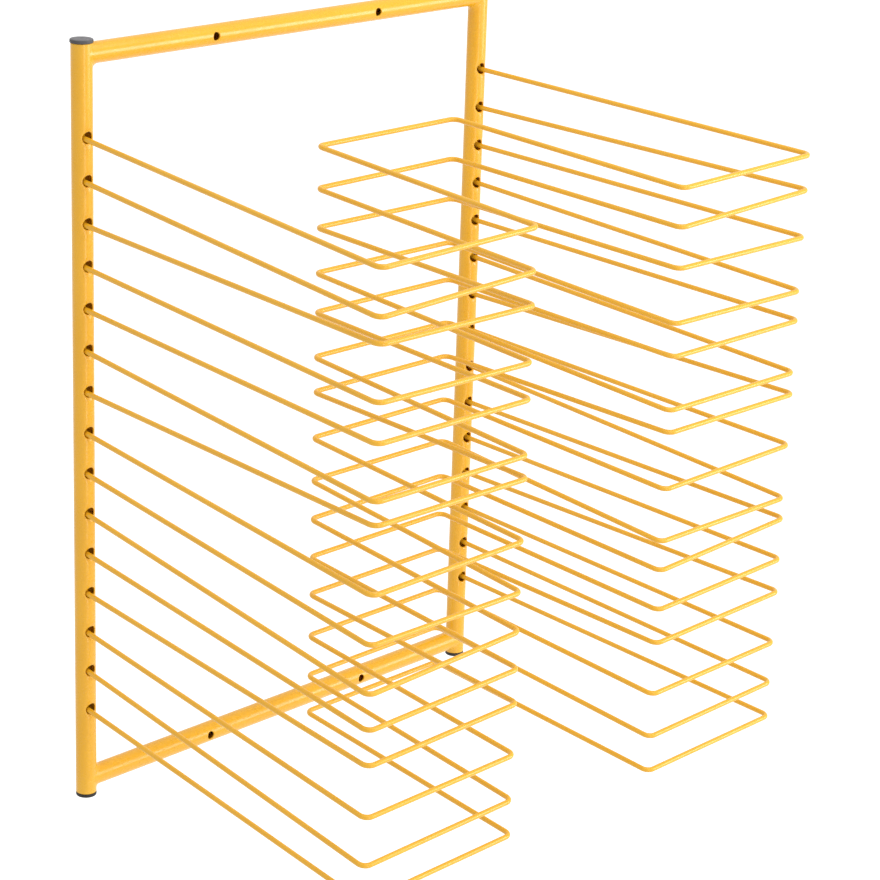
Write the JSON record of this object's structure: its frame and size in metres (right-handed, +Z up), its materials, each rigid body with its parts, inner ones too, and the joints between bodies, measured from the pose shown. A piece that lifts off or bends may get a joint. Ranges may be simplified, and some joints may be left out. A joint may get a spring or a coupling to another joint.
{
  "type": "wall-hung art drying rack",
  "caption": "Wall-hung drying rack for paintings: a welded tube frame whose uprights carry wire shelves that hook in and fold up together.",
  "frame": {"origin": "on the wall plane, midway between the uprights and midway between the crossbars", "axes": "+X to the viewer's right across the rack, +Y into the wall, so the shelves reach towards -Y, +Z up along the uprights"},
  "size_m": [0.578, 0.4231, 0.7425],
  "materials": {
    "yellow_coat": "glossy powder coat",
    "grey_plastic": "fine moulded grain",
    "black_plastic": "fine moulded grain"
  },
  "bodies": {
    "frame": {"left_upright": "yellow_coat", "right_upright": "yellow_coat", "top_crossbar": "yellow_coat", "bottom_crossbar": "yellow_coat", "top_left_cap": "grey_plastic", "top_right_cap": "grey_plastic", "bottom_left_cap": "black_plastic", "bottom_right_cap": "black_plastic"},
    "shelf_01": {"shelf_01": "yellow_coat"},
    "shelf_02": {"shelf_02": "yellow_coat"},
    "shelf_03": {"shelf_03": "yellow_coat"},
    "shelf_04": {"shelf_04": "yellow_coat"},
    "shelf_05": {"shelf_05": "yellow_coat"},
    "shelf_06": {"shelf_06": "yellow_coat"},
    "shelf_07": {"shelf_07": "yellow_coat"},
    "shelf_08": {"shelf_08": "yellow_coat"},
    "shelf_09": {"shelf_09": "yellow_coat"},
    "shelf_10": {"shelf_10": "yellow_coat"},
    "shelf_11": {"shelf_11": "yellow_coat"},
    "shelf_12": {"shelf_12": "yellow_coat"},
    "shelf_13": {"shelf_13": "yellow_coat"},
    "shelf_14": {"shelf_14": "yellow_coat"},
    "shelf_15": {"shelf_15": "yellow_coat"}
  },
  "joints": [
    {"name": "shelf_01_lift", "type": "hinge", "parent": "frame", "child": "shelf_01", "pos_m": [0, -0.0166, 0.28], "axis": [-1, 0, 0], "range_deg": [0, 38.6]},
    {"name": "shelf_02_lift", "type": "hinge", "parent": "frame", "child": "shelf_02", "pos_m": [0, -0.0166, 0.24], "axis": [-1, 0, 0], "range_deg": [0, 38.3]},
    {"name": "shelf_03_lift", "type": "hinge", "parent": "frame", "child": "shelf_03", "pos_m": [0, -0.0166, 0.2], "axis": [-1, 0, 0], "range_deg": [0, 37.5]},
    {"name": "shelf_04_lift", "type": "hinge", "parent": "frame", "child": "shelf_04", "pos_m": [0, -0.0166, 0.16], "axis": [-1, 0, 0], "range_deg": [0, 39.2]},
    {"name": "shelf_05_lift", "type": "hinge", "parent": "frame", "child": "shelf_05", "pos_m": [0, -0.0166, 0.12], "axis": [-1, 0, 0], "range_deg": [0, 38.1]},
    {"name": "shelf_06_lift", "type": "hinge", "parent": "frame", "child": "shelf_06", "pos_m": [0, -0.0166, 0.08], "axis": [-1, 0, 0], "range_deg": [0, 39.8]},
    {"name": "shelf_07_lift", "type": "hinge", "parent": "frame", "child": "shelf_07", "pos_m": [0, -0.0166, 0.04], "axis": [-1, 0, 0], "range_deg": [0, 37.1]},
    {"name": "shelf_08_lift", "type": "hinge", "parent": "frame", "child": "shelf_08", "pos_m": [0, -0.0166, 0], "axis": [-1, 0, 0], "range_deg": [0, 39.6]},
    {"name": "shelf_09_lift", "type": "hinge", "parent": "frame", "child": "shelf_09", "pos_m": [0, -0.0166, -0.04], "axis": [-1, 0, 0], "range_deg": [0, 41.1]},
    {"name": "shelf_10_lift", "type": "hinge", "parent": "frame", "child": "shelf_10", "pos_m": [0, -0.0166, -0.08], "axis": [-1, 0, 0], "range_deg": [0, 40.1]},
    {"name": "shelf_11_lift", "type": "hinge", "parent": "frame", "child": "shelf_11", "pos_m": [0, -0.0166, -0.12], "axis": [-1, 0, 0], "range_deg": [0, 39.8]},
    {"name": "shelf_12_lift", "type": "hinge", "parent": "frame", "child": "shelf_12", "pos_m": [0, -0.0166, -0.16], "axis": [-1, 0, 0], "range_deg": [0, 38.9]},
    {"name": "shelf_13_lift", "type": "hinge", "parent": "frame", "child": "shelf_13", "pos_m": [0, -0.0166, -0.2], "axis": [-1, 0, 0], "range_deg": [0, 40.6]},
    {"name": "shelf_14_lift", "type": "hinge", "parent": "frame", "child": "shelf_14", "pos_m": [0, -0.0166, -0.24], "axis": [-1, 0, 0], "range_deg": [0, 41.3]},
    {"name": "shelf_15_lift", "type": "hinge", "parent": "frame", "child": "shelf_15", "pos_m": [0, -0.0166, -0.28], "axis": [-1, 0, 0], "range_deg": [0, 40.6]}
  ],
  "couplings": [
    {"joint": "shelf_01_lift", "follows": "shelf_15_lift", "ratio": 0.95074},
    {"joint": "shelf_02_lift", "follows": "shelf_15_lift", "ratio": 0.94335},
    {"joint": "shelf_03_lift", "follows": "shelf_15_lift", "ratio": 0.92365},
    {"joint": "shelf_04_lift", "follows": "shelf_15_lift", "ratio": 0.96552},
    {"joint": "shelf_05_lift", "follows": "shelf_15_lift", "ratio": 0.93842},
    {"joint": "shelf_06_lift", "follows": "shelf_15_lift", "ratio": 0.9803},
    {"joint": "shelf_07_lift", "follows": "shelf_15_lift", "ratio": 0.91379},
    {"joint": "shelf_08_lift", "follows": "shelf_15_lift", "ratio": 0.97537},
    {"joint": "shelf_09_lift", "follows": "shelf_15_lift", "ratio": 1.0123},
    {"joint": "shelf_10_lift", "follows": "shelf_15_lift", "ratio": 0.98768},
    {"joint": "shelf_11_lift", "follows": "shelf_15_lift", "ratio": 0.9803},
    {"joint": "shelf_12_lift", "follows": "shelf_15_lift", "ratio": 0.95813},
    {"joint": "shelf_13_lift", "follows": "shelf_15_lift", "ratio": 1},
    {"joint": "shelf_14_lift", "follows": "shelf_15_lift", "ratio": 1.0172}
  ]
}
